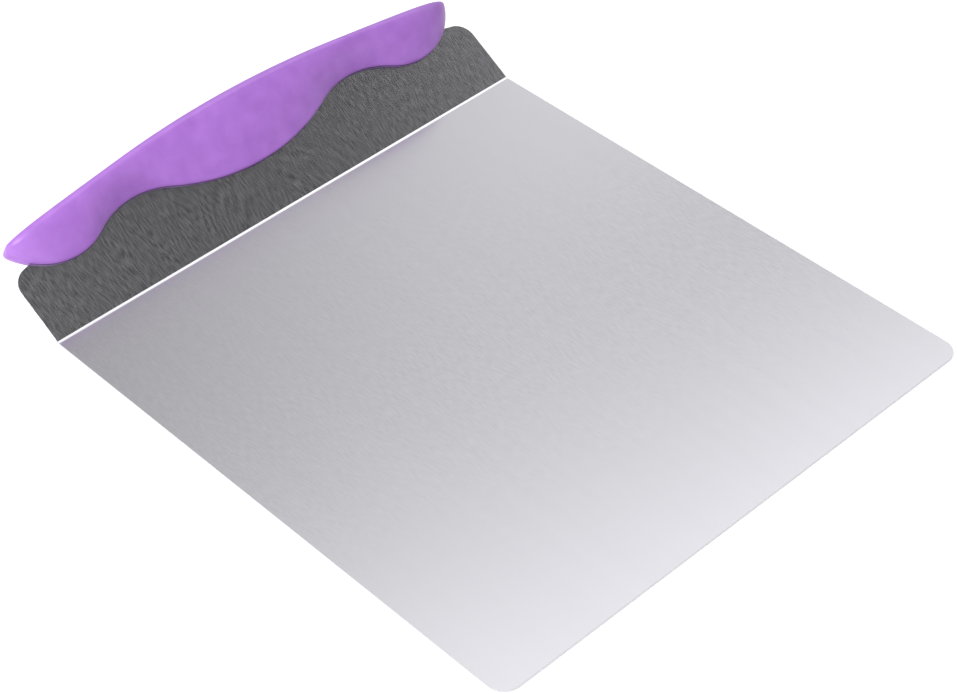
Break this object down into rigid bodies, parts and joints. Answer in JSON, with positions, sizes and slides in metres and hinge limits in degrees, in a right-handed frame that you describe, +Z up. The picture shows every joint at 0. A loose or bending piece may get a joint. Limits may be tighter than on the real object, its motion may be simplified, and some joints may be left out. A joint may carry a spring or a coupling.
{
  "type": "cake lifter",
  "caption": "Flat steel plate with an upturned flange inside a moulded grip, slid under a cake to lift and carry it.",
  "frame": {"origin": "on the surface the plate lies on, under the middle of the lifter's outer box", "axes": "+X across the plate, to the right when looking from the front edge to the handle; +Y from the front edge to the handle; +Z up"},
  "size_m": [0.254, 0.3168, 0.0391],
  "materials": {
    "stainless_plate": "brushed lengthwise",
    "violet_handle": "satin moulded",
    "screw_steel": "zinc plated"
  },
  "bodies": {
    "root": {"lifting_plate": "stainless_plate", "handle_front": "violet_handle", "handle_back": "violet_handle", "handle_screw_1": "screw_steel", "handle_screw_2": "screw_steel", "handle_screw_3": "screw_steel", "handle_screw_4": "screw_steel", "handle_screw_5": "screw_steel"}
  },
  "joints": []
}
